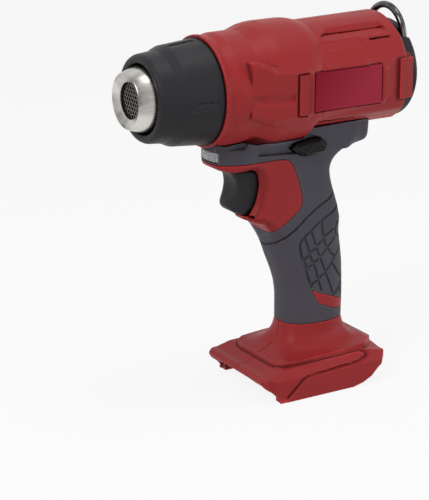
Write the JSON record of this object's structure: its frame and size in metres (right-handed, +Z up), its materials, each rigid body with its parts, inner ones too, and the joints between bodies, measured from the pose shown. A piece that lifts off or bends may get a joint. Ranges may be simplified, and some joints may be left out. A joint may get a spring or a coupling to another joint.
{
  "type": "cordless heat gun",
  "caption": "Pistol-grip cordless heat gun: a barrel with a steel nozzle, an inner heater, motor and fan, a sprung trigger, a lock slider, a folding bail and a slide-on pack foot.",
  "frame": {"origin": "centre of the foot's underside, on the mid plane between the pack rails", "axes": "-X the way the nozzle points, which is also the way a battery pack slides off; +Y the tool's right-hand side seen by its user facing along -X; +Z up, from the foot to the barrel"},
  "size_m": [0.1969, 0.077, 0.2483],
  "materials": {
    "red_shell": "satin",
    "black_plastic": "matte",
    "soft_grip": "matte",
    "nozzle_steel": "brushed",
    "grille_steel": "dark",
    "bail_chrome": "polished",
    "plate": "gloss",
    "lens": "clear",
    "board": "matte",
    "spring_steel": "bright",
    "mica": "matte",
    "ceramic": "matte",
    "coil_alloy": "dark",
    "pressed_steel": "bright",
    "aluminium": "satin",
    "magnet": "dull",
    "bronze": "satin",
    "windings": "lacquered",
    "lead_red": "satin"
  },
  "bodies": {
    "body": {"left_housing": "red_shell", "right_housing": "red_shell", "front_sleeve": "black_plastic", "nozzle_tube": "nozzle_steel", "nozzle_grille": "grille_steel", "rear_cap": "black_plastic", "left_grip_cover": "soft_grip", "right_grip_cover": "soft_grip", "left_accent": "red_shell", "right_accent": "red_shell", "left_nameplate": "plate", "right_nameplate": "plate", "trigger_spring": "spring_steel", "switch_body": "black_plastic", "led_lens": "lens", "led_board": "board", "insulating_ring": "ceramic", "air_funnel": "pressed_steel", "mica_tube": "mica", "heater_former": "ceramic", "heater_coil": "coil_alloy", "thermal_fuse": "pressed_steel", "fan_shroud": "black_plastic", "motor_can": "pressed_steel", "motor_end_bell": "black_plastic", "motor_magnets": "magnet", "motor_bushes": "bronze", "control_board": "board", "heatsink": "aluminium", "terminal_block": "black_plastic", "terminal_blades": "bronze", "power_leads": "lead_red", "housing_screws": "spring_steel"},
    "trigger_group": {"trigger": "black_plastic", "switch_plunger": "ceramic"},
    "lock": {"lock_slider": "black_plastic"},
    "bail": {"hanging_bail": "bail_chrome"},
    "fan": {"fan_impeller": "aluminium", "motor_armature": "windings", "motor_shaft": "spring_steel"}
  },
  "joints": [
    {"name": "trigger_pull", "type": "slide", "parent": "body", "child": "trigger_group", "axis": [1, 0, 0], "range_m": [0, 0.006], "stiffness_N_per_m": 900, "springref_m": -0.004, "deforming": ["trigger_spring"]},
    {"name": "lock_slide", "type": "slide", "parent": "body", "child": "lock", "axis": [0, 1, 0], "range_m": [-0.003, 0.003]},
    {"name": "bail_fold", "type": "hinge", "parent": "body", "child": "bail", "pos_m": [0.0654, 0, 0.2246], "axis": [0, 1, 0], "range_deg": [0, 180]},
    {"name": "fan_spin", "type": "hinge", "parent": "body", "child": "fan", "pos_m": [0, 0, 0.203], "axis": [1, 0, 0], "continuous": true}
  ]
}
